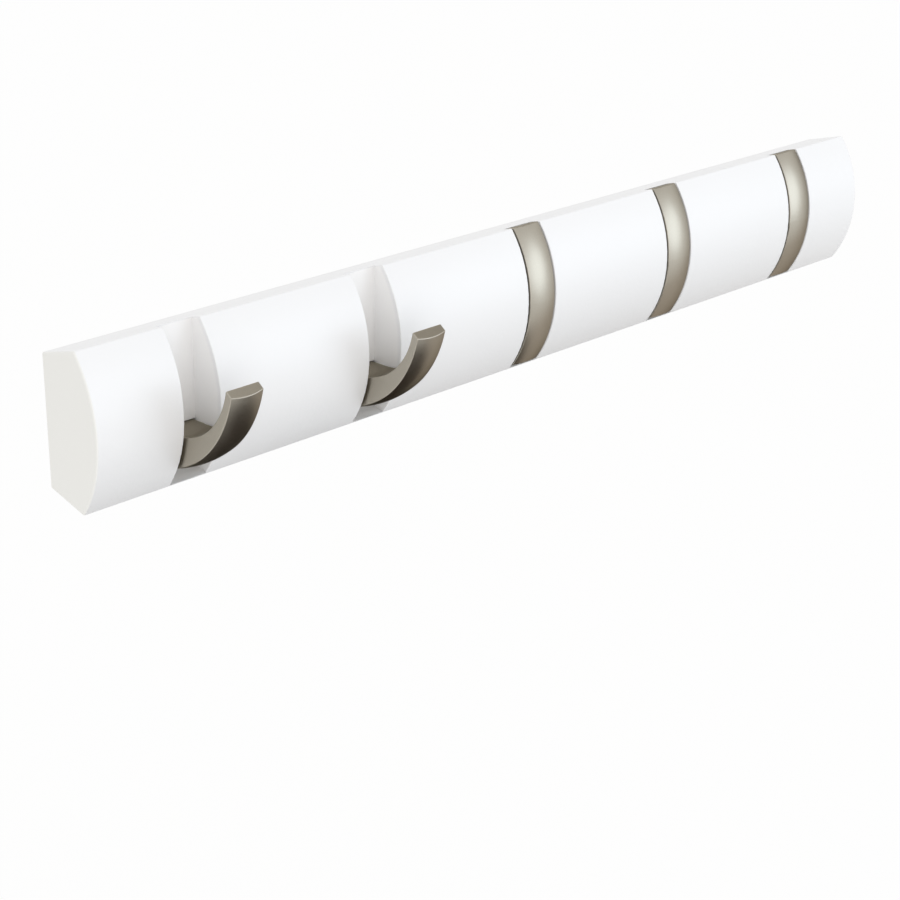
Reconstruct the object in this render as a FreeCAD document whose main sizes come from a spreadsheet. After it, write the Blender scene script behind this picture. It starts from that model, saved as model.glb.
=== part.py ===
# Wall rail with five fold-flat hooks, as a parametric FreeCAD document in millimetres.
#
# Frame: X runs along the bar, the wall is the plane y = 0, the front faces -Y and +Z is up.
# The origin is the middle of the bar's back. Depth in the comments is the distance out from the wall.
# A hook is drawn folded flat, round its own pivot, and its Placement turns it open.

import FreeCAD
import Part
import Sketcher
import math
import os
import re

Vector = FreeCAD.Vector
ALONG_X = Vector(1, 0, 0)
OUT_OF_SKETCH = Vector(0, 0, 1)

HOOK_COUNT = 5
OPEN_HOOKS = (1, 2)
SPRING_TURNS = 6

# For tests that pick edges: how near a point counts as on a surface, and how many points are tested
NEAR = 0.001
POINTS_TESTED = 5

doc = FreeCAD.newDocument("FoldingHookRail")

# Driving dimensions

SIZES = [
    ("bar_length", 508.0, "end to end"),
    ("front_height", 68.4, "between the front edges of the top and bottom faces"),
    ("back_height", 57.2, "height of the face on the wall"),
    ("edge_depth", 21.2, "depth of the top and bottom faces"),
    ("front_bulge", 11.8, "rise of the bowed front over its edges"),
    ("bar_edge_round", 0.8, "eased edges of the bar"),
    ("hook_pitch", 101.0, "from one hook to the next"),
    ("slot_width", 18.6, "width of a slot"),
    ("groove_depth", 16.3, "wood left behind a slot's upper part"),
    ("pivot_depth", 20.4, "pin axis out from the wall"),
    ("pivot_rise", 16.8, "pin axis above the bottom front edge"),
    ("lip_wall", 0.8, "wood under the round pocket"),
    ("swing_gap", 0.35, "room round a hook's root in its pocket"),
    ("hook_side_gap", 1.0, "room on each side of a hook"),
    ("hook_swing", 51.0, "degrees from folded flat to open"),
    ("hook_tip", 3.9, "thickness of a hook's tip at its sides"),
    ("cup_radius", 33.8, "hollow that holds a coat"),
    ("root_rise", 6.5, "flat of the open hook above the pin axis"),
    ("crown_radius", 30.0, "crown across the outer face of a hook"),
    ("hook_edge_round", 0.4, "eased edges of a hook"),
    ("slot_edge_round", 0.4, "eased edges of a slot's mouth"),
    ("pin_diameter", 6.0, "tube of the pivot pin, inside the hook"),
    ("pin_gap", 0.05, "running fit of a hook on its pin, on the radius"),
    ("tube_wall", 0.8, "wall of that tube"),
    ("tube_lip", 0.8, "length of the tube's turned-in ends"),
    ("collar_length", 2.0, "collar that keeps a plunger in the tube"),
    ("plunger_diameter", 3.2, "sprung ends of the pin"),
    ("plunger_reach", 5.0, "how far a plunger goes into its bush"),
    ("plunger_chamfer", 0.6, "bevel on a plunger's end"),
    ("spring_wire", 0.6, "wire of the spring between the plungers"),
    ("bush_diameter", 7.0, "sleeve of a bush in the wood"),
    ("bush_length", 6.0, "sleeve of a bush in the wood"),
    ("flange_diameter", 12.0, "flange of a bush, which rubs on the hook"),
    ("flange_gap", 0.3, "between a flange and the hook"),
    ("press_gap", 0.02, "fit of a fixed piece in its hole, on the radius"),
    ("keyhole_spacing", 303.0, "between the two wall screws"),
    ("keyhole_rise", 2.0, "round part of a keyhole above the bar's middle"),
    ("keyhole_entry", 9.0, "round part of a keyhole, across"),
    ("keyhole_slot", 4.4, "narrow part of a keyhole, across"),
    ("keyhole_travel", 12.0, "from the round part to the end of the slot"),
    ("keyhole_lip", 3.0, "wood that a wall screw's head pulls on"),
    ("keyhole_room", 4.0, "depth behind that lip for the screw's head"),
]

sheet = doc.addObject("Spreadsheet::Sheet", "Sizes")
for row, (alias, number, meaning) in enumerate(SIZES, start=1):
    sheet.set(f"A{row}", alias)
    sheet.set(f"B{row}", str(number))
    sheet.set(f"C{row}", meaning)
    sheet.setAlias(f"B{row}", alias)
doc.recompute()
ALIASES = {alias for alias, number, meaning in SIZES}

# Sizes that follow from the driving ones, as expressions

TAPER = "((front_height - back_height) / 2 / edge_depth)"
TAPER_LENGTH = f"sqrt(1 + {TAPER} * {TAPER})"
FRONT_RADIUS = "((front_height * front_height / 4 + front_bulge * front_bulge) / 2 / front_bulge)"
FRONT_CENTRE = f"(edge_depth + front_bulge - {FRONT_RADIUS})"
PIVOT_HEIGHT = "(pivot_rise - front_height / 2)"
PIVOT_TO_BOTTOM = f"(({PIVOT_HEIGHT} + back_height / 2 + pivot_depth * {TAPER}) / {TAPER_LENGTH})"
POCKET_RADIUS = f"({PIVOT_TO_BOTTOM} - lip_wall)"
ROOT_RADIUS = f"({POCKET_RADIUS} - swing_gap)"
CEILING = f"({PIVOT_HEIGHT} + root_rise + swing_gap)"
OUTSIDE = "(front_height)"
HOOK_WIDTH = "(slot_width - 2 * hook_side_gap)"
TUBE_BORE = "(pin_diameter / 2 - tube_wall)"
TUBE_MOUTH = "(plunger_diameter / 2 + press_gap)"
COLLAR_OUTSIDE = f"({HOOK_WIDTH} / 2 - tube_lip)"
COLLAR_INSIDE = f"({COLLAR_OUTSIDE} - collar_length)"
CROWN = f"(crown_radius - sqrt(crown_radius * crown_radius - {HOOK_WIDTH} * {HOOK_WIDTH} / 4))"


def bound(text):
    """An expression with each alias written as a cell of the sheet."""
    return re.sub(r"[a-z_]+", lambda word: f"Sizes.{word[0]}" if word[0] in ALIASES else word[0], text)


def value(text):
    """The number that an expression has now."""
    return float(sheet.evalExpression(bound(text)))


def hook_place(number):
    """Where a hook stands along the bar, counted from 1 at the left."""
    return f"(hook_pitch * ({number} - ({HOOK_COUNT} + 1) / 2))"


# Helpers for bodies and sketches


def new_body(label):
    body = doc.addObject("PartDesign::Body", label)
    body.Label = label
    return body


def put(body, x_text, y_text, z_text):
    for axis, text in (("x", x_text), ("y", y_text), ("z", z_text)):
        body.setExpression(f"Placement.Base.{axis}", bound(text))


def put_on_pivot(body, number):
    put(body, hook_place(number), "-pivot_depth", PIVOT_HEIGHT)


def origin_of(body, role):
    """One of the body's own planes or axes."""
    return next(item for item in body.Origin.OriginFeatures if item.Role == role)


def new_sketch(body, name, role, x="0", y="0", z="0"):
    """A sketch on one of the body's own planes, moved by bound distances along its own axes."""
    sketch = body.newObject("Sketcher::SketchObject", name)
    sketch.AttachmentSupport = (origin_of(body, role), "")
    sketch.MapMode = "FlatFace"
    for axis, text in (("x", x), ("y", y), ("z", z)):
        sketch.setExpression(f"AttachmentOffset.Base.{axis}", bound(text))
    return sketch


def bind(sketch, constraint, text):
    sketch.setExpression(f"Constraints[{sketch.addConstraint(constraint)}]", bound(text))


def place_point(sketch, geometry, end, x_text, y_text):
    """Hold a point of the sketch at bound coordinates, on an axis where a coordinate is nothing."""
    for text, axis, kind in ((x_text, -2, "DistanceX"), (y_text, -1, "DistanceY")):
        number = value(text)
        if abs(number) < 1e-9:
            sketch.addConstraint(Sketcher.Constraint("PointOnObject", geometry, end, axis))
        elif number > 0:
            bind(sketch, Sketcher.Constraint(kind, -1, 1, geometry, end, number), text)
        else:
            bind(sketch, Sketcher.Constraint(kind, geometry, end, -1, 1, -number), f"-({text})")


def join(sketch, ring):
    """Close a ring of lines and arcs, each drawn from its end 1 to its end 2."""
    for one, other in zip(ring, ring[1:] + ring[:1]):
        sketch.addConstraint(Sketcher.Constraint("Coincident", one, 2, other, 1))


def draw_line(sketch, start, end):
    return sketch.addGeometry(Part.LineSegment(start, end))


def draw_arc(sketch, centre, start, end):
    """An arc drawn anticlockwise: its end 1 is the start, its end 2 the end, and 3 is its centre."""
    first = math.atan2(start.y - centre.y, start.x - centre.x)
    last = math.atan2(end.y - centre.y, end.x - centre.x)
    if last <= first:
        last += 2 * math.pi
    circle = Part.Circle(centre, OUT_OF_SKETCH, (start - centre).Length)
    return sketch.addGeometry(Part.ArcOfCircle(circle, first, last))


def draw_polygon(sketch, corners):
    """A closed polygon whose corners are pairs of expressions."""
    points = [Vector(value(x_text), value(y_text), 0) for x_text, y_text in corners]
    ring = [draw_line(sketch, start, end) for start, end in zip(points, points[1:] + points[:1])]
    join(sketch, ring)
    for line, (x_text, y_text) in zip(ring, corners):
        place_point(sketch, line, 1, x_text, y_text)


def draw_circle(sketch, diameter):
    """A circle about the sketch's own origin."""
    circle = sketch.addGeometry(Part.Circle(Vector(0, 0, 0), OUT_OF_SKETCH, value(diameter) / 2))
    sketch.addConstraint(Sketcher.Constraint("Coincident", circle, 3, -1, 1))
    bind(sketch, Sketcher.Constraint("Diameter", circle, value(diameter)), diameter)


def draw_run(sketch, width, travel):
    """The outline that a round cutter leaves when it runs straight up from the sketch's origin."""
    half = value(width) / 2
    far = value(travel)
    right = draw_line(sketch, Vector(half, 0, 0), Vector(half, far, 0))
    top = draw_arc(sketch, Vector(0, far, 0), Vector(half, far, 0), Vector(-half, far, 0))
    left = draw_line(sketch, Vector(-half, far, 0), Vector(-half, 0, 0))
    low = draw_arc(sketch, Vector(0, 0, 0), Vector(-half, 0, 0), Vector(half, 0, 0))
    for one, other in ((right, top), (top, left), (left, low), (low, right)):
        sketch.addConstraint(Sketcher.Constraint("Tangent", one, 2, other, 1))
    sketch.addConstraint(Sketcher.Constraint("Coincident", low, 3, -1, 1))
    place_point(sketch, top, 3, "0", travel)
    bind(sketch, Sketcher.Constraint("Radius", low, half), f"({width}) / 2")


# Helpers for features


def pad(body, name, sketch, length, symmetric=False):
    feature = body.newObject("PartDesign::Pad", name)
    feature.Profile = sketch
    feature.setExpression("Length", bound(length))
    feature.SideType = "Symmetric" if symmetric else "One side"
    return feature


def pocket(body, name, sketch, length, symmetric=False):
    """A cut along the sketch's normal, or half to each side of the sketch."""
    feature = body.newObject("PartDesign::Pocket", name)
    feature.Profile = sketch
    feature.setExpression("Length", bound(length))
    feature.SideType = "Symmetric" if symmetric else "One side"
    feature.Reversed = not symmetric
    return feature


def turned(body, name, sketch):
    """A solid made by turning a sketch all the way round its own horizontal axis."""
    feature = body.newObject("PartDesign::Revolution", name)
    feature.Profile = sketch
    feature.ReferenceAxis = (sketch, ["H_Axis"])
    feature.Angle = 360
    return feature


def turned_away(body, name, sketch):
    """A cut made by turning a sketch all the way round its own horizontal axis."""
    feature = body.newObject("PartDesign::Groove", name)
    feature.Profile = sketch
    feature.ReferenceAxis = (sketch, ["H_Axis"])
    feature.Angle = 360
    return feature


def mirrored(body, name, originals):
    """The same features on the other side of the body's middle."""
    feature = body.newObject("PartDesign::Mirrored", name)
    feature.Originals = originals
    feature.MirrorPlane = (origin_of(body, "YZ_Plane"), [""])
    body.Tip = feature
    return feature


def ease_edges(body, name, feature, radius, chosen):
    """Round those edges of a feature that a test picks."""
    doc.recompute()
    edges = [f"Edge{i}" for i, edge in enumerate(feature.Shape.Edges, start=1)
             if not edge.Degenerated and chosen(edge)]
    rounded = body.newObject("PartDesign::Fillet", name)
    rounded.Base = (feature, edges)
    rounded.setExpression("Radius", bound(radius))
    return rounded


# The bar


def bar_section(body):
    """Flat back, tapered top and bottom, bowed front."""
    sketch = new_sketch(body, "bar_section", "YZ_Plane")
    top_back = Vector(0, value("back_height / 2"), 0)
    top_front = Vector(-value("edge_depth"), value("front_height / 2"), 0)
    low_back = Vector(top_back.x, -top_back.y, 0)
    low_front = Vector(top_front.x, -top_front.y, 0)
    top = draw_line(sketch, top_back, top_front)
    front = draw_arc(sketch, Vector(-value(FRONT_CENTRE), 0, 0), top_front, low_front)
    bottom = draw_line(sketch, low_front, low_back)
    back = draw_line(sketch, low_back, top_back)
    join(sketch, [top, front, bottom, back])
    place_point(sketch, top, 1, "0", "back_height / 2")
    place_point(sketch, top, 2, "-edge_depth", "front_height / 2")
    place_point(sketch, bottom, 1, "-edge_depth", "-front_height / 2")
    place_point(sketch, bottom, 2, "0", "-back_height / 2")
    bind(sketch, Sketcher.Constraint("Radius", front, value(FRONT_RADIUS)), FRONT_RADIUS)
    return sketch


def slot_outline(body, place):
    """A slot from the side: an upright groove above, and below it a round pocket about the pin axis."""
    sketch = new_sketch(body, "slot_outline", "YZ_Plane", z=place)
    slope = math.atan(value(TAPER))
    pivot = Vector(-value("pivot_depth"), value(PIVOT_HEIGHT), 0)
    radius = value(POCKET_RADIUS)
    outside = value(OUTSIDE)
    ceiling = value(CEILING)
    groove = -value("groove_depth")
    below = pivot + Vector(math.sin(slope), -math.cos(slope), 0) * radius
    behind = Vector(pivot.x + math.sqrt(radius ** 2 - (ceiling - pivot.y) ** 2), ceiling, 0)
    floor_end = Vector(-outside, below.y - (below.x + outside) * math.tan(slope), 0)

    floor = draw_line(sketch, below, floor_end)
    mouth = draw_line(sketch, floor_end, Vector(-outside, outside, 0))
    above = draw_line(sketch, Vector(-outside, outside, 0), Vector(groove, outside, 0))
    wall = draw_line(sketch, Vector(groove, outside, 0), Vector(groove, ceiling, 0))
    roof = draw_line(sketch, Vector(groove, ceiling, 0), behind)
    round_wall = draw_arc(sketch, pivot, below, behind)

    for one, other in ((floor, mouth), (mouth, above), (above, wall), (wall, roof)):
        sketch.addConstraint(Sketcher.Constraint("Coincident", one, 2, other, 1))
    sketch.addConstraint(Sketcher.Constraint("Coincident", roof, 2, round_wall, 2))
    sketch.addConstraint(Sketcher.Constraint("Tangent", floor, 1, round_wall, 1))
    bind(sketch, Sketcher.Constraint("Angle", floor, slope - math.pi), f"atan({TAPER}) - 180 deg")
    for upright in (mouth, wall):
        sketch.addConstraint(Sketcher.Constraint("Vertical", upright))
    for level in (above, roof):
        sketch.addConstraint(Sketcher.Constraint("Horizontal", level))
    place_point(sketch, round_wall, 3, "-pivot_depth", PIVOT_HEIGHT)
    bind(sketch, Sketcher.Constraint("Radius", round_wall, radius), POCKET_RADIUS)
    place_point(sketch, wall, 2, "-groove_depth", CEILING)
    place_point(sketch, mouth, 2, f"-{OUTSIDE}", OUTSIDE)
    return sketch


def make_bar():
    body = new_body("bar")
    blank = pad(body, "bar_blank", bar_section(body), "bar_length", symmetric=True)
    eased = ease_edges(body, "bar_edges", blank, "bar_edge_round", lambda edge: True)
    doc.recompute()

    first = hook_place(1)
    slot = pocket(body, "slot", slot_outline(body, first), "slot_width", symmetric=True)
    seat = new_sketch(body, "bush_seat_outline", "YZ_Plane", x="-pivot_depth", y=PIVOT_HEIGHT, z=first)
    draw_circle(seat, "bush_diameter + 2 * press_gap")
    seats = pocket(body, "bush_seats", seat, "slot_width + 2 * bush_length", symmetric=True)
    slots = body.newObject("PartDesign::LinearPattern", "row_of_slots")
    slots.Originals = [slot, seats]
    slots.Direction = (origin_of(body, "X_Axis"), [""])
    slots.setExpression("Length", bound(f"hook_pitch * ({HOOK_COUNT} - 1)"))
    slots.Occurrences = HOOK_COUNT
    body.Tip = slots

    place = {"x": "keyhole_spacing / 2", "y": "keyhole_rise"}
    entry = new_sketch(body, "keyhole_entry_outline", "XZ_Plane", **place)
    draw_circle(entry, "keyhole_entry")
    neck = new_sketch(body, "keyhole_neck_outline", "XZ_Plane", **place)
    draw_run(neck, "keyhole_slot", "keyhole_travel")
    room = new_sketch(body, "keyhole_room_outline", "XZ_Plane", z="keyhole_lip", **place)
    draw_run(room, "keyhole_entry", "keyhole_travel")
    keyhole = [
        pocket(body, "keyhole_entry", entry, "keyhole_lip + keyhole_room"),
        pocket(body, "keyhole_neck", neck, "keyhole_lip + keyhole_room"),
        pocket(body, "keyhole_undercut", room, "keyhole_room"),
    ]
    both = mirrored(body, "other_keyhole", keyhole)
    ease_edges(body, "slot_edges", both, "slot_edge_round", slot_mouth_test(eased.Shape.Shells[0]))
    return body


def slot_mouth_test(skin):
    """A test for the edges where the side of a slot comes out through the bar's skin."""
    walls = [value(f"{hook_place(number)} {side} slot_width / 2")
             for number in range(1, HOOK_COUNT + 1) for side in "-+"]

    def on_slot_mouth(edge):
        points = edge.discretize(POINTS_TESTED)
        on_wall = any(all(abs(point.x - wall) < NEAR for point in points) for wall in walls)
        return on_wall and all(skin.distToShape(Part.Vertex(point))[0] < NEAR for point in points)

    return on_slot_mouth


# A hook


def lower_meeting(centre, radius, root):
    """The lower point where the outer circle crosses the root's circle about the pivot."""
    along = (root ** 2 - radius ** 2 + centre.Length ** 2) / (2 * centre.Length)
    across = math.sqrt(root ** 2 - along ** 2)
    toward = Vector(centre).normalize()
    side = Vector(-toward.y, toward.x, 0)
    return min((toward * along + side * across, toward * along - side * across), key=lambda point: point.y)


def hook_outline(body):
    """A folded hook from the side, about its pivot: outer face, tip, hollow, flat and round root."""
    sketch = new_sketch(body, "hook_outline", "YZ_Plane")
    swing = math.radians(value("hook_swing"))
    slope = math.atan(value(TAPER))
    root = value(ROOT_RADIUS)
    cup = value("cup_radius")
    rise = value("root_rise")
    outer_text = f"{FRONT_RADIUS} + 2 * {CROWN}"
    outer_radius = value(outer_text)
    centre_text = (f"pivot_depth - {FRONT_CENTRE}", f"-{PIVOT_HEIGHT}")
    tip_text = (f"pivot_depth - edge_depth + hook_tip / {TAPER_LENGTH}",
                f"front_height / 2 - {PIVOT_HEIGHT} - hook_tip * {TAPER} / {TAPER_LENGTH}")
    centre = Vector(value(centre_text[0]), value(centre_text[1]), 0)
    tip_inside = Vector(value(tip_text[0]), value(tip_text[1]), 0)

    # Start each free point where the constraints will leave it
    inward = Vector(math.cos(slope), -math.sin(slope), 0)
    along = (tip_inside - centre).dot(inward)
    tip_length = along + math.sqrt(along ** 2 + outer_radius ** 2 - (tip_inside - centre).Length ** 2)
    tip_outside = tip_inside - inward * tip_length
    forward = Vector(-math.cos(swing), math.sin(swing), 0)
    upward = Vector(math.sin(swing), math.cos(swing), 0)
    drop = rise + cup - tip_inside.dot(upward)
    reach = tip_inside.dot(forward) - math.sqrt(cup ** 2 - drop ** 2)
    flat_end = upward * rise + forward * reach
    hollow_centre = flat_end + upward * cup
    heel = upward * rise - forward * math.sqrt(root ** 2 - rise ** 2)
    tail = lower_meeting(centre, outer_radius, root)

    outer = draw_arc(sketch, centre, tip_outside, tail)
    back = draw_arc(sketch, Vector(0, 0, 0), tail, heel)
    flat = draw_line(sketch, heel, flat_end)
    hollow = draw_arc(sketch, hollow_centre, tip_inside, flat_end)
    tip = draw_line(sketch, tip_inside, tip_outside)

    sketch.addConstraint(Sketcher.Constraint("Coincident", outer, 2, back, 1))
    sketch.addConstraint(Sketcher.Constraint("Coincident", back, 2, flat, 1))
    sketch.addConstraint(Sketcher.Constraint("Tangent", flat, 2, hollow, 2))
    sketch.addConstraint(Sketcher.Constraint("Coincident", hollow, 1, tip, 1))
    sketch.addConstraint(Sketcher.Constraint("Coincident", tip, 2, outer, 1))
    place_point(sketch, outer, 3, *centre_text)
    bind(sketch, Sketcher.Constraint("Radius", outer, outer_radius), outer_text)
    sketch.addConstraint(Sketcher.Constraint("Coincident", back, 3, -1, 1))
    bind(sketch, Sketcher.Constraint("Radius", back, root), ROOT_RADIUS)
    bind(sketch, Sketcher.Constraint("Angle", flat, math.pi - swing), "180 deg - hook_swing * 1 deg")
    bind(sketch, Sketcher.Constraint("Distance", -1, 1, flat, rise), "root_rise")
    bind(sketch, Sketcher.Constraint("Radius", hollow, cup), "cup_radius")
    place_point(sketch, tip, 1, *tip_text)
    bind(sketch, Sketcher.Constraint("Angle", tip, math.pi - slope), f"180 deg - atan({TAPER})")
    return sketch


def crown_outline(body):
    """What is turned away outside a hook's crowned face and its eased sides, about the bowed front's axis."""
    sketch = new_sketch(body, "crown_outline", "XY_Plane",
                        y=f"pivot_depth - {FRONT_CENTRE}", z=f"-{PIVOT_HEIGHT}")
    middle_text = f"-({FRONT_RADIUS} + {CROWN} - crown_radius)"
    outside_text = f"-({FRONT_RADIUS} + 3 * {CROWN})"
    corner = value("hook_edge_round")
    reach = value("crown_radius") - corner
    half = value(f"{HOOK_WIDTH} / 2")
    wide = value("slot_width / 2")
    middle = Vector(0, value(middle_text), 0)
    right_centre = Vector(half - corner, middle.y - math.sqrt(reach ** 2 - (half - corner) ** 2), 0)
    left_centre = Vector(-right_centre.x, right_centre.y, 0)
    right_end = right_centre + (right_centre - middle) * (corner / reach)
    left_end = Vector(-right_end.x, right_end.y, 0)
    shelf = right_centre.y
    far = value(outside_text)

    left_shelf = draw_line(sketch, Vector(-wide, shelf, 0), Vector(-half, shelf, 0))
    left_corner = draw_arc(sketch, left_centre, Vector(-half, shelf, 0), left_end)
    crown = draw_arc(sketch, middle, left_end, right_end)
    right_corner = draw_arc(sketch, right_centre, right_end, Vector(half, shelf, 0))
    right_shelf = draw_line(sketch, Vector(half, shelf, 0), Vector(wide, shelf, 0))
    right_side = draw_line(sketch, Vector(wide, shelf, 0), Vector(wide, far, 0))
    outside = draw_line(sketch, Vector(wide, far, 0), Vector(-wide, far, 0))
    left_side = draw_line(sketch, Vector(-wide, far, 0), Vector(-wide, shelf, 0))

    for one, other in ((left_shelf, left_corner), (right_corner, right_shelf), (right_shelf, right_side),
                       (right_side, outside), (outside, left_side), (left_side, left_shelf)):
        sketch.addConstraint(Sketcher.Constraint("Coincident", one, 2, other, 1))
    for one, other in ((left_corner, crown), (crown, right_corner)):
        sketch.addConstraint(Sketcher.Constraint("Tangent", one, 2, other, 1))
    place_point(sketch, crown, 3, "0", middle_text)
    bind(sketch, Sketcher.Constraint("Radius", crown, value("crown_radius")), "crown_radius")
    for arc, end in ((left_corner, 1), (right_corner, 2)):
        bind(sketch, Sketcher.Constraint("Radius", arc, corner), "hook_edge_round")
        sketch.addConstraint(Sketcher.Constraint("Horizontal", arc, 3, arc, end))
    bind(sketch, Sketcher.Constraint("DistanceX", left_corner, 1, -1, 1, half), f"{HOOK_WIDTH} / 2")
    bind(sketch, Sketcher.Constraint("DistanceX", -1, 1, right_corner, 2, half), f"{HOOK_WIDTH} / 2")
    for level in (left_shelf, right_shelf):
        sketch.addConstraint(Sketcher.Constraint("Horizontal", level))
    place_point(sketch, outside, 1, "slot_width / 2", outside_text)
    place_point(sketch, outside, 2, "-slot_width / 2", outside_text)
    for upright in (right_side, left_side):
        sketch.addConstraint(Sketcher.Constraint("Vertical", upright))
    return sketch


def on_hook_rim(edge):
    """Whether an edge goes round a hook's tip or along a side of its hollow and flat."""
    slope = math.atan(value(TAPER))
    swing = math.radians(value("hook_swing"))
    tip_normal = Vector(0, math.sin(slope), math.cos(slope))
    upward = Vector(0, math.sin(swing), math.cos(swing))
    tip_edge = Vector(0, value("pivot_depth - edge_depth"), value(f"front_height / 2 - {PIVOT_HEIGHT}"))
    tip_height = tip_normal.dot(tip_edge)
    centre = Vector(0, value(f"pivot_depth - {FRONT_CENTRE}"), value(f"-{PIVOT_HEIGHT}"))
    inside = value(f"{FRONT_RADIUS} - hook_tip / 2")
    side = value(f"{HOOK_WIDTH} / 2")
    points = edge.discretize(POINTS_TESTED)
    round_tip = all(abs(tip_normal.dot(point) - tip_height) < NEAR for point in points)
    along_side = all(abs(abs(point.x) - side) < NEAR for point in points)
    above_flat = all(upward.dot(point) > value("root_rise") - NEAR for point in points)
    in_hollow = all(Vector(0, point.y - centre.y, point.z - centre.z).Length < inside for point in points)
    return round_tip or (along_side and above_flat and in_hollow)


def make_hook(number):
    body = new_body(f"hook_{number}")
    pad(body, "hook_blank", hook_outline(body), HOOK_WIDTH, symmetric=True)
    crowned = turned_away(body, "crowned_face", crown_outline(body))
    ease_edges(body, "hook_rim", crowned, "hook_edge_round", on_hook_rim)
    bore = new_sketch(body, "pin_bore_outline", "YZ_Plane")
    draw_circle(bore, "pin_diameter + 2 * pin_gap")
    pocket(body, "pin_bore", bore, "2 * slot_width", symmetric=True)
    put_on_pivot(body, number)
    if number in OPEN_HOOKS:
        body.Placement.Rotation = FreeCAD.Rotation(ALONG_X, value("hook_swing"))
        body.setExpression("Placement.Rotation.Angle", bound("hook_swing * 1 deg"))
    return body


# The sprung pin and the bushes of a hook


def make_tube(number):
    """The pin's tube, which the hook turns on, with its ends turned in to keep the plungers."""
    body = new_body(f"pivot_pin_{number}")
    outline = new_sketch(body, "tube_outline", "XY_Plane")
    end = f"{HOOK_WIDTH} / 2"
    draw_polygon(outline, [
        (f"-{end}", TUBE_MOUTH),
        (f"-{COLLAR_OUTSIDE}", TUBE_MOUTH),
        (f"-{COLLAR_OUTSIDE}", TUBE_BORE),
        (COLLAR_OUTSIDE, TUBE_BORE),
        (COLLAR_OUTSIDE, TUBE_MOUTH),
        (end, TUBE_MOUTH),
        (end, "pin_diameter / 2"),
        (f"-{end}", "pin_diameter / 2"),
    ])
    turned(body, "tube", outline)
    put_on_pivot(body, number)
    return body


def make_plungers(number):
    """The pin's two ends, which the spring pushes out into the bushes."""
    body = new_body(f"pivot_plungers_{number}")
    body.AllowCompound = True
    outline = new_sketch(body, "plunger_outline", "XY_Plane")
    end = "slot_width / 2 + plunger_reach"
    draw_polygon(outline, [
        (COLLAR_INSIDE, "0"),
        (end, "0"),
        (end, "plunger_diameter / 2 - plunger_chamfer"),
        (f"{end} - plunger_chamfer", "plunger_diameter / 2"),
        (COLLAR_OUTSIDE, "plunger_diameter / 2"),
        (COLLAR_OUTSIDE, f"{TUBE_BORE} - press_gap"),
        (COLLAR_INSIDE, f"{TUBE_BORE} - press_gap"),
    ])
    mirrored(body, "other_plunger", [turned(body, "plunger", outline)])
    put_on_pivot(body, number)
    return body


def make_spring(number):
    """The coil spring in the tube, between the two plungers."""
    body = new_body(f"pivot_spring_{number}")
    wire = new_sketch(body, "spring_wire_section", "XY_Plane",
                      x=f"-({COLLAR_INSIDE} - spring_wire / 2 - press_gap)", y=f"{TUBE_BORE} - spring_wire")
    draw_circle(wire, "spring_wire")
    coil = body.newObject("PartDesign::AdditiveHelix", "coil")
    coil.Profile = wire
    coil.ReferenceAxis = (origin_of(body, "X_Axis"), [""])
    coil.Mode = "height-turns-angle"
    coil.Turns = SPRING_TURNS
    coil.setExpression("Height", bound(f"2 * ({COLLAR_INSIDE} - spring_wire / 2 - press_gap)"))
    put_on_pivot(body, number)
    return body


def make_bushes(number):
    """Two flanged bushes, each with its sleeve in the wood and its flange in the slot."""
    body = new_body(f"pivot_bushes_{number}")
    body.AllowCompound = True
    outline = new_sketch(body, "bush_outline", "XY_Plane")
    draw_polygon(outline, [
        ("slot_width / 2 - hook_side_gap + flange_gap", TUBE_MOUTH),
        ("slot_width / 2 + bush_length", TUBE_MOUTH),
        ("slot_width / 2 + bush_length", "bush_diameter / 2"),
        ("slot_width / 2", "bush_diameter / 2"),
        ("slot_width / 2", "flange_diameter / 2"),
        ("slot_width / 2 - hook_side_gap + flange_gap", "flange_diameter / 2"),
    ])
    mirrored(body, "other_bush", [turned(body, "bush", outline)])
    put_on_pivot(body, number)
    return body


# The whole rail

pieces = [make_bar()]
for number in range(1, HOOK_COUNT + 1):
    pieces.append(make_hook(number))
    pieces.append(make_tube(number))
    pieces.append(make_plungers(number))
    pieces.append(make_spring(number))
    pieces.append(make_bushes(number))
doc.recompute()

# Checks, then one STEP file for each piece

for item in doc.Objects:
    if "Invalid" in item.State or "Error" in item.State:
        raise RuntimeError(f"{item.Name} failed to build: {item.State}")
for piece in pieces:
    if piece.Shape.isNull() or not piece.Shape.isValid():
        raise RuntimeError(f"{piece.Label} has no valid shape")

os.makedirs("parts", exist_ok=True)
for piece in pieces:
    piece.Shape.exportStep(f"parts/{piece.Label}.step")
    box = piece.Shape.BoundBox
    print(f"{piece.Label}: {len(piece.Shape.Solids)} solid(s), {piece.Shape.Volume / 1000:.2f} cm3, "
          f"{box.XLength:.1f} x {box.YLength:.1f} x {box.ZLength:.1f} mm")
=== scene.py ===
# %% [markdown]
# # A white wall rail with five folding hooks
#
# The rail was drawn in CAD, so every form is already there at its true size, in metres: a bar with a
# bowed front, five rocker hooks, and the pins, springs and bushes that they turn on. What is left for
# Blender is the look: lacquer on the bar, satin nickel on the hooks, and the light and the camera of a
# product picture. The first cell loads the CAD pieces and prints the size of the whole.

import math

import bpy
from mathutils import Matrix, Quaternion, Vector


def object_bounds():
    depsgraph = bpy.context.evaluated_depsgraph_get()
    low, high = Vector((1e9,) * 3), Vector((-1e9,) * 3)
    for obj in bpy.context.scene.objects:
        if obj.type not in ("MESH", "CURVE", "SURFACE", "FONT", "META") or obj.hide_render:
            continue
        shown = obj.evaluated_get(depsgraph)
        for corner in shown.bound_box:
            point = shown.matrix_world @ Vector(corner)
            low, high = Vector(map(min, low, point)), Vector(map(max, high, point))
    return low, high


MILLIMETRES_IN_METRE = 1000


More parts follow.
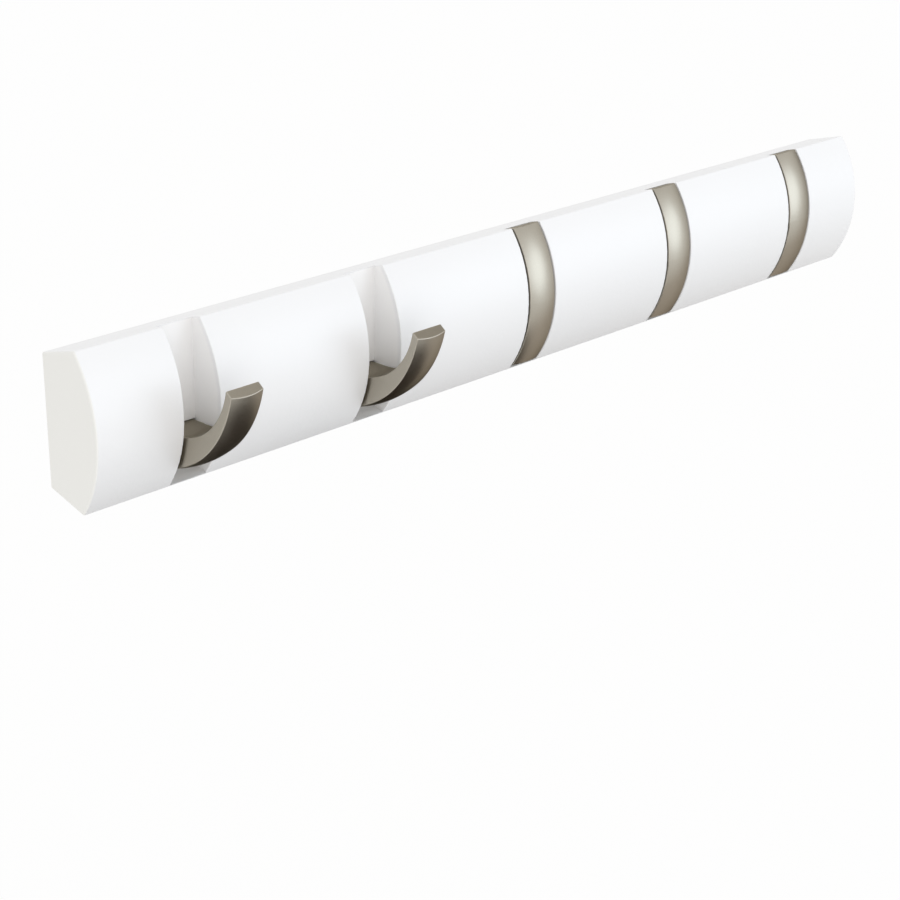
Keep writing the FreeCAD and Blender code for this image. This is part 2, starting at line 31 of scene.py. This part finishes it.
def sides(low, high):
    """The three sides of a box in millimetres, to print."""
    return [round(MILLIMETRES_IN_METRE * (far - near), 1) for near, far in zip(low, high)]


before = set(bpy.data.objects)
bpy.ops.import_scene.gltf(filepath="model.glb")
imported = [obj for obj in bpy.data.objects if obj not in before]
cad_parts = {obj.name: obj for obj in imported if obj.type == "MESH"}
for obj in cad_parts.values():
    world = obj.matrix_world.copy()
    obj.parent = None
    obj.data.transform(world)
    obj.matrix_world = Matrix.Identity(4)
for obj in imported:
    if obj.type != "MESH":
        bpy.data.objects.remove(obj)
cad_low, cad_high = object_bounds()
print("CAD box in millimetres", sides(cad_low, cad_high))

# %% [markdown]
# ## The camera
#
# A picture like this is taken from the left, a little above, with a longish lens, so that the far end of
# the bar stays large. The place and the focal length below were worked out from the edges of the bar,
# which are parallel on the real thing. A focal length in pixels becomes one in millimetres when it is
# set against the sensor's width.

# %% Set up the camera
CAMERA_PLACE = Vector((-0.6826, -0.6400, 0.2963))
CAMERA_AIM = Vector((-0.0421, -0.0150, -0.0680))
CAMERA_ROLL = math.radians(0.61)
VIEW_AXIS = (0, 0, 1)
FOCAL_LENGTH_PIXELS = 2061.8
PICTURE_PIXELS = 900

bpy.ops.object.select_all(action="DESELECT")
bpy.ops.object.camera_add(location=CAMERA_PLACE)
camera = bpy.context.object
aimed = (CAMERA_AIM - CAMERA_PLACE).to_track_quat("-Z", "Y")
camera.rotation_euler = (aimed @ Quaternion(VIEW_AXIS, CAMERA_ROLL)).to_euler()
camera.data.lens = FOCAL_LENGTH_PIXELS / PICTURE_PIXELS * camera.data.sensor_width
bpy.context.scene.camera = camera
print("camera lens in millimetres", round(camera.data.lens, 1))

# %% [markdown]
# ## Formulas instead of noodles
#
# A finish is a node tree, and most of its nodes only add or multiply. It is easier to read as a formula,
# so a small class holds one output socket and answers to plus, minus and times by adding a Math node.
# Its method `node` adds any other kind of node: the settings go in first, then the values or links of
# its sockets.

# %% A socket that can stand in a formula
class Strand:
    """One output socket of a node tree, or the start of an empty tree."""

    def __init__(self, tree, socket=None):
        self.tree = tree
        self.socket = socket

    def node(self, kind, settings=None, sockets=None, output=0):
        made = self.tree.nodes.new(kind)
        for name, setting in (settings or {}).items():
            setattr(made, name, setting)
        for name, given in (sockets or {}).items():
            if isinstance(given, Strand):
                self.tree.links.new(given.socket, made.inputs[name])
            else:
                made.inputs[name].default_value = given
        return Strand(self.tree, made.outputs[output] if made.outputs else None)

    def maths(self, operation, first, second):
        return self.node("ShaderNodeMath", {"operation": operation}, {0: first, 1: second})

    def __add__(self, other):
        return self.maths("ADD", self, other)

    def __radd__(self, other):
        return self.maths("ADD", other, self)

    def __sub__(self, other):
        return self.maths("SUBTRACT", self, other)

    def __rsub__(self, other):
        return self.maths("SUBTRACT", other, self)

    def __mul__(self, other):
        return self.maths("MULTIPLY", self, other)

    def __rmul__(self, other):
        return self.maths("MULTIPLY", other, self)


print("formulas ready: plus, minus, times")

# %% [markdown]
# ## Helpers for every finish
#
# Each finish starts from the place on the piece, mixes two close colours by a noise, roughens the skin
# with a bump and ends in the main shader. A Mix node has several sockets of the same name, one for each
# kind of data, so the colour ones are called by their number.

# %% The steps that finishes share
MIX_FACTOR = 0
MIX_FIRST_COLOUR = 6
MIX_SECOND_COLOUR = 7
MIX_COLOUR_RESULT = 2


def new_finish(name):
    """An empty material, with the place on the piece as its first strand."""
    material = bpy.data.materials.new(name)
    material.use_nodes = True
    material.node_tree.nodes.clear()
    place = Strand(material.node_tree).node("ShaderNodeTexCoord", output="Object")
    return material, place


def noise(place, scale, detail=2.0):
    sockets = {"Vector": place, "Scale": scale, "Detail": detail}
    return place.node("ShaderNodeTexNoise", None, sockets, "Fac")


def stretched(place, scales):
    """The place with each axis scaled by its own number, so that a noise turns into lines."""
    return place.node("ShaderNodeMapping", None, {"Vector": place, "Scale": scales})


def mixed(factor, first, second):
    """One colour where the factor is 0, the other where it is 1."""
    sockets = {MIX_FACTOR: factor, MIX_FIRST_COLOUR: first, MIX_SECOND_COLOUR: second}
    return factor.node("ShaderNodeMix", {"data_type": "RGBA"}, sockets, MIX_COLOUR_RESULT)


def bumped(height, strength, depth):
    sockets = {"Height": height, "Strength": strength, "Distance": depth}
    return height.node("ShaderNodeBump", None, sockets)


def ended(place, sockets):
    """Close a finish with the main shader and the material's output."""
    shader = place.node("ShaderNodeBsdfPrincipled", None, sockets)
    place.node("ShaderNodeOutputMaterial", None, {"Surface": shader})


print("helpers ready: noise, stretch, mix, bump")

# %% [markdown]
# ## Where the slots are
#
# The walls inside the slots get a lighter tone of their own, which is painted light: it lifts the shade
# in the slots. They could be picked face by face, but the CAD pieces stay as they are, so the finish
# works out from the place alone whether a point lies inside a slot: near enough to the middle of one,
# and below the bowed front, the top and the bottom, and off the back. The sizes are those of the
# drawing, in metres. Each pair says where a soft step starts and ends.

# %% Tell the slot walls from the outer skin
HOOK_PITCH = 0.101
FRONT_RADIUS = 0.05546
FRONT_CENTRE = 0.02246
HALF_BACK = 0.0286
TAPER = 0.264
PAST_SLOT_WALL = (0.0094, 0.0097)
BELOW_FRONT = (0.0005, 0.0030)
OFF_BACK = (0.0010, 0.0030)
BELOW_TOP = (0.0002, 0.0008)


def size_of(number):
    return number.node("ShaderNodeMath", {"operation": "ABSOLUTE"}, {0: number})


def ramp(number, low, high):
    """0 up to the low value, 1 from the high one, and a soft step between."""
    sockets = {"Value": number, "From Min": low, "From Max": high}
    return number.node("ShaderNodeMapRange", {"interpolation_type": "SMOOTHSTEP"}, sockets)


def inside_slots(x, y, z):
    """1 on the routed walls of the slots, 0 on the outer skin and the back of the bar."""
    turns = x * (1 / HOOK_PITCH)
    nearest = turns.node("ShaderNodeMath", {"operation": "ROUND"}, {0: turns})
    from_middle = size_of(turns - nearest) * HOOK_PITCH
    from_centre = y - FRONT_CENTRE
    squared = from_centre * from_centre + z * z
    radius = squared.node("ShaderNodeMath", {"operation": "SQRT"}, {0: squared})
    under_top = HALF_BACK - TAPER * y - size_of(z)
    in_width = 1 - ramp(from_middle, *PAST_SLOT_WALL)
    off_front = ramp(FRONT_RADIUS - radius, *BELOW_FRONT)
    off_back = ramp(-1 * y, *OFF_BACK)
    return in_width * off_front * off_back * ramp(under_top, *BELOW_TOP)


print("slots every", MILLIMETRES_IN_METRE * HOOK_PITCH, "millimetres")

# %% [markdown]
# ## White lacquer
#
# The bar is wood under several sprayed coats of satin white. Close up, such paint isn't one flat white:
# it has a fine orange peel from the spray, the grain below still shows as very shallow lines along the
# bar, and the end grain drinks more paint, so the two ends are a touch warmer and duller. Inside the
# slots, where no cloth reaches, the coat is more matt, and its white is painted lighter there: painted
# light that lifts the shade in the slots. All of it could be painted by hand, but patterns that are
# worked out from the place on the bar stay sharp at any distance and need no picture.

# %% Mix the lacquer
LACQUER = (0.838, 0.836, 0.842, 1)
LACQUER_DEEP = (0.824, 0.822, 0.828, 1)
LACQUER_END = (0.836, 0.832, 0.806, 1)
# painted light: a lighter white for the slot walls, which lifts the shade inside the slots
LACQUER_SLOT_PAINTED_LIGHT = (0.892, 0.884, 0.880, 1)
LACQUER_IOR = 1.48
LACQUER_ROUGHNESS = 0.30
CLOUD_DULLS = 0.08
GRAIN_DULLS = 0.06
END_DULLS = 0.08
SLOT_DULLS = 0.12
COAT_SCALE = 11.0
PEEL_SCALE = 620.0
GRAIN_STRETCH = (14.0, 330.0, 330.0)
PEEL_HEIGHT = 0.7
GRAIN_HEIGHT = 0.5
LACQUER_BUMP = 0.20
LACQUER_DEPTH = 0.0002
HALF_BAR = cad_high.x
END_GRAIN_STARTS = 0.0010
END_GRAIN_FULL = 0.0002


def white_lacquer():
    material, place = new_finish("white_lacquer")
    x, y, z = (place.node("ShaderNodeSeparateXYZ", None, {"Vector": place}, axis) for axis in "XYZ")
    cloud = noise(place, COAT_SCALE, detail=3.0)
    peel = noise(place, PEEL_SCALE)
    grain = noise(stretched(place, GRAIN_STRETCH), 1.0, detail=4.0)
    end_grain = ramp(size_of(x), HALF_BAR - END_GRAIN_STARTS, HALF_BAR - END_GRAIN_FULL)
    # the slot walls get painted light, a lighter white that lifts their shade, and a rougher coat
    slot = inside_slots(x, y, z)
    skin = mixed(end_grain, mixed(cloud, LACQUER_DEEP, LACQUER), LACQUER_END)
    dulled = CLOUD_DULLS * cloud + GRAIN_DULLS * grain + END_DULLS * end_grain + SLOT_DULLS * slot
    height = PEEL_HEIGHT * peel + GRAIN_HEIGHT * grain
    ended(place, {
        "Base Color": mixed(slot, skin, LACQUER_SLOT_PAINTED_LIGHT),
        "Roughness": LACQUER_ROUGHNESS + dulled,
        "IOR": LACQUER_IOR,
        "Normal": bumped(height, LACQUER_BUMP, LACQUER_DEPTH),
    })
    return material


lacquer = white_lacquer()
print("lacquer nodes", len(lacquer.node_tree.nodes))

# %% [markdown]
# ## Satin nickel
#
# The hooks are castings that were blasted with fine beads and then plated, which gives nickel its soft,
# slightly golden grey. The blasting is a bump so small that it only spreads the reflection, and the
# plate is a little duller in some places than in others. Blasted plate also mirrors less at a glancing
# angle than polished metal does: for a metal, the shader's specular tint is the colour at that angle. A
# metal takes nearly all its look from what it mirrors, so the colour stays simple.

# %% Plate the nickel
NICKEL = (0.486, 0.452, 0.384, 1)
NICKEL_DULL = (0.391, 0.361, 0.305, 1)
NICKEL_EDGE = (0.42, 0.39, 0.34, 1)
NICKEL_ROUGHNESS = 0.29
NICKEL_DULLS = 0.06
PLATE_SCALE = 60.0
PLATE_SHARE = 0.4
BEAD_SCALE = 1500.0
BEAD_SHARE = 0.6
BEAD_BUMP = 0.25
BEAD_DEPTH = 0.00005


def satin_nickel():
    material, place = new_finish("satin_nickel")
    cloud = noise(place, PLATE_SCALE, detail=3.0)
    blasted = noise(place, BEAD_SCALE, detail=3.0)
    ended(place, {
        "Base Color": mixed(PLATE_SHARE * cloud + BEAD_SHARE * blasted, NICKEL_DULL, NICKEL),
        "Metallic": 1.0,
        "Specular Tint": NICKEL_EDGE,
        "Roughness": NICKEL_ROUGHNESS + NICKEL_DULLS * cloud + NICKEL_DULLS * blasted,
        "Normal": bumped(blasted, BEAD_BUMP, BEAD_DEPTH),
    })
    return material


nickel = satin_nickel()
print("nickel nodes", len(nickel.node_tree.nodes))

# %% [markdown]
# ## Turned steel
#
# Inside each hook lies a steel tube with a spring and a plunger at each end, and the hook turns on it.
# Turned steel has fine rings round its axis, which lies along the bar, so a noise is squeezed along the
# bar until it makes rings.

# %% Turn the steel
STEEL = (0.52, 0.52, 0.53, 1)
STEEL_DARK = (0.42, 0.42, 0.43, 1)
STEEL_ROUGHNESS = 0.24
RINGS_DULL = 0.14
RING_STRETCH = (5200.0, 160.0, 160.0)
RING_BUMP = 0.15
RING_DEPTH = 0.00004


def turned_steel():
    material, place = new_finish("turned_steel")
    rings = noise(stretched(place, RING_STRETCH), 1.0)
    ended(place, {
        "Base Color": mixed(rings, STEEL_DARK, STEEL),
        "Metallic": 1.0,
        "Roughness": STEEL_ROUGHNESS + RINGS_DULL * rings,
        "Normal": bumped(rings, RING_BUMP, RING_DEPTH),
    })
    return material


steel = turned_steel()
print("steel nodes", len(steel.node_tree.nodes))

# %% [markdown]
# ## Nylon
#
# The plungers turn in two flanged bushes in the slot's walls. Nylon for such bushes is off-white, with a
# dull and slightly cloudy skin from the mould.

# %% Mould the nylon
NYLON = (0.78, 0.76, 0.70, 1)
NYLON_DEEP = (0.71, 0.69, 0.62, 1)
NYLON_IOR = 1.53
NYLON_ROUGHNESS = 0.46
MOULD_DULLS = 0.12
NYLON_CLOUD_SCALE = 240.0
MOULD_SCALE = 1800.0
MOULD_BUMP = 0.10
MOULD_DEPTH = 0.00005


def bush_nylon():
    material, place = new_finish("bush_nylon")
    cloud = noise(place, NYLON_CLOUD_SCALE, detail=3.0)
    skin = noise(place, MOULD_SCALE)
    ended(place, {
        "Base Color": mixed(cloud, NYLON_DEEP, NYLON),
        "Roughness": NYLON_ROUGHNESS + MOULD_DULLS * skin,
        "IOR": NYLON_IOR,
        "Normal": bumped(skin, MOULD_BUMP, MOULD_DEPTH),
    })
    return material


nylon = bush_nylon()
print("nylon nodes", len(nylon.node_tree.nodes))

# %% [markdown]
# ## Each piece gets its finish
#
# The CAD pieces carry plain stand-in materials. A piece's own slot is given the new finish, by the first
# part of its name, so a sixth hook would need no new line.

# %% Dress the pieces
FINISHES = {
    "bar": lacquer,
    "hook": nickel,
    "pivot_pin": steel,
    "pivot_plungers": steel,
    "pivot_spring": steel,
    "pivot_bushes": nylon,
}

for name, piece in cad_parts.items():
    kind = name.rstrip("0123456789").rstrip("_")
    piece.data.materials.clear()
    piece.data.materials.append(FINISHES[kind])
print("pieces dressed", len(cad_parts))

# %% [markdown]
# ## Who is looking
#
# The rail floats on white. A brighter lamp would make the background white, and bleach the bar as well.
# Instead, the floor and the sky tell apart who is looking: the camera and mirrored or bent rays see
# plain white, and all other rays meet matt paint below and a soft sky above.

# %% Tell the rays apart
WHITE = (1, 1, 1, 1)


def seen_directly(start):
    """1 for rays of the camera and for mirrored or bent rays, 0 for the rest."""
    camera_ray = start.node("ShaderNodeLightPath", output="Is Camera Ray")
    mirrored_ray = start.node("ShaderNodeLightPath", output="Is Glossy Ray")
    bent_ray = start.node("ShaderNodeLightPath", output="Is Transmission Ray")
    total = camera_ray + mirrored_ray + bent_ray
    return total.maths("MINIMUM", total, 1.0)


def mixed_shaders(factor, first, second):
    """One shader where the factor is 0, the other where it is 1."""
    return factor.node("ShaderNodeMixShader", None, {0: factor, 1: first, 2: second})


print("rays told apart: camera, mirrored, bent")

# %% [markdown]
# ## The floor
#
# A pale floor lies well below the rail. A small share of it stays matt paint for the camera too, and
# keeps the faint shadow.

# %% Lay the floor
FLOOR_LEVEL = -0.9
FLOOR_SIZE = 40.0
FLOOR_WHITE_SHARE = 0.95
FLOOR_COLOUR = (0.84, 0.83, 0.81, 1)
FLOOR_WORN = (0.78, 0.77, 0.75, 1)
FLOOR_WEAR_SCALE = 2.0


def floor_paint():
    material, place = new_finish("floor_paint")
    colour = mixed(noise(place, FLOOR_WEAR_SCALE), FLOOR_WORN, FLOOR_COLOUR)
    matt = place.node("ShaderNodeBsdfDiffuse", None, {"Color": colour})
    white = place.node("ShaderNodeEmission", None, {"Color": WHITE, "Strength": 1.0})
    shader = mixed_shaders(FLOOR_WHITE_SHARE * seen_directly(place), matt, white)
    place.node("ShaderNodeOutputMaterial", None, {"Surface": shader})
    return material


bpy.ops.object.select_all(action="DESELECT")
bpy.ops.mesh.primitive_plane_add(size=FLOOR_SIZE, location=(0, 0, FLOOR_LEVEL))
floor = bpy.context.object
floor.name = "floor"
floor.data.materials.append(floor_paint())
print("floor at", FLOOR_LEVEL, "metres")

# %% [markdown]
# ## The sky
#
# Most of the light comes from all round, as in a white tent. It is a shade weaker than the white that
# the camera sees, so that the pale front keeps its shading.

# %% Hang the sky
SKY_COLOUR = (0.985, 0.985, 0.98, 1)

world = bpy.data.worlds.new("white_room")
bpy.context.scene.world = world
world.use_nodes = True
world.node_tree.nodes.clear()
start = Strand(world.node_tree)
soft = start.node("ShaderNodeBackground", None, {"Color": SKY_COLOUR, "Strength": 1.0})
plain = start.node("ShaderNodeBackground", None, {"Color": WHITE, "Strength": 1.0})
sky = mixed_shaders(seen_directly(start), soft, plain)
start.node("ShaderNodeOutputWorld", None, {"Surface": sky})
print("sky nodes", len(world.node_tree.nodes))

# %% [markdown]
# ## Two lamps
#
# A soft key lamp stands in front on the left, and shines on the left end and into the slots. A cool lamp
# on the right is there for the nickel: the upper half of a folded hook mirrors it.

# %% Place the lamps
KEY_PLACE = Vector((-1.25, -2.00, 0.10))
KEY_SIZE = 1.4
KEY_POWER = 6.3
KEY_COLOUR = (0.98, 0.98, 1.0)
GLINT_PLACE = Vector((1.24, -1.81, 0.30))
GLINT_SIZE = 1.50
GLINT_POWER = 9.4
GLINT_COLOUR = (0.765, 0.88, 1.0)


def soft_lamp(name, place, size, power, colour):
    """A round soft lamp that shines on the middle of the rail."""
    bpy.ops.object.select_all(action="DESELECT")
    bpy.ops.object.light_add(type="AREA", location=place)
    lamp = bpy.context.object
    lamp.name = name
    lamp.rotation_euler = place.to_track_quat("Z", "Y").to_euler()
    lamp.data.shape = "DISK"
    lamp.data.size = size
    lamp.data.energy = power
    lamp.data.color = colour
    return lamp


lamps = [
    soft_lamp("key_lamp", KEY_PLACE, KEY_SIZE, KEY_POWER, KEY_COLOUR),
    soft_lamp("glint_lamp", GLINT_PLACE, GLINT_SIZE, GLINT_POWER, GLINT_COLOUR),
]
print("lamps", [lamp.name for lamp in lamps])

# %% [markdown]
# ## Cards for the nickel
#
# Nickel in an all-white room looks like paper, so, as in a studio, cards stand where the camera can't
# see them. A dark one below the rail gives the open hooks their deep outer face, and a second dark one,
# further back and to the right, keeps the right edge of that face dark. A warm one in front of it is for
# the lower half of the folded hooks, one far to the right for their right edges, and one overhead for the
# tips. Mirrored rays meet all five. Diffuse rays meet only the first, which makes the lower front of the
# lacquer a little darker.

# %% Stand the cards
CARD_DARK = (0.024, 0.013, 0.006, 1)
CARD_WARM = (0.64, 0.58, 0.53, 1)
CARD_SIDE = (0.30, 0.27, 0.23, 1)
CARD_HIGH = (0.54, 0.50, 0.45, 1)
CARD_ROUGHNESS = 0.9
LOW_LEVEL = -0.32
HIGH_LEVEL = 0.75
WARM_STARTS = 0.17
WARM_ENDS = 0.12
FAR_RIGHT = 1.30


def studio_card(name, colour, corner, other, shades=False):
    """A flat card between two corners that share one coordinate. The camera doesn't see it, mirrored
    rays do, and diffuse rays do only if it is to shade the lacquer too."""
    low, high = Vector(corner), Vector(other)
    size = high - low
    bpy.ops.object.select_all(action="DESELECT")
    bpy.ops.mesh.primitive_plane_add(size=1, location=(low + high) / 2)
    card = bpy.context.object
    card.name = name
    if size.x == 0:
        card.rotation_euler.y = math.radians(90)
        card.scale = (size.z, size.y, 1)
    else:
        card.scale = (size.x, size.y, 1)
    material, place = new_finish(name)
    ended(place, {"Base Color": colour, "Roughness": CARD_ROUGHNESS})
    card.data.materials.append(material)
    card.visible_camera = False
    card.visible_diffuse = shades
    return card


cards = [
    studio_card("low_dark_card", CARD_DARK,
                (-0.16, -0.38, LOW_LEVEL), (WARM_STARTS, 0.60, LOW_LEVEL), shades=True),
    studio_card("low_warm_card", CARD_WARM,
                (WARM_STARTS, -0.46, LOW_LEVEL), (FAR_RIGHT, WARM_ENDS, LOW_LEVEL)),
    studio_card("back_dark_card", CARD_DARK,
                (WARM_STARTS, WARM_ENDS, LOW_LEVEL), (0.80, 0.90, LOW_LEVEL)),
    studio_card("right_card", CARD_SIDE, (FAR_RIGHT, -0.30, -0.60), (FAR_RIGHT, 0.60, 0.30)),
    studio_card("high_card", CARD_HIGH, (0.25, -0.55, HIGH_LEVEL), (0.95, 0.20, HIGH_LEVEL)),
]
print("cards", [card.name for card in cards])

# %% [markdown]
# ## The end
#
# The last cell sets the picture's view transform to Standard.

# %% Finish
bpy.context.scene.view_settings.view_transform = "Standard"
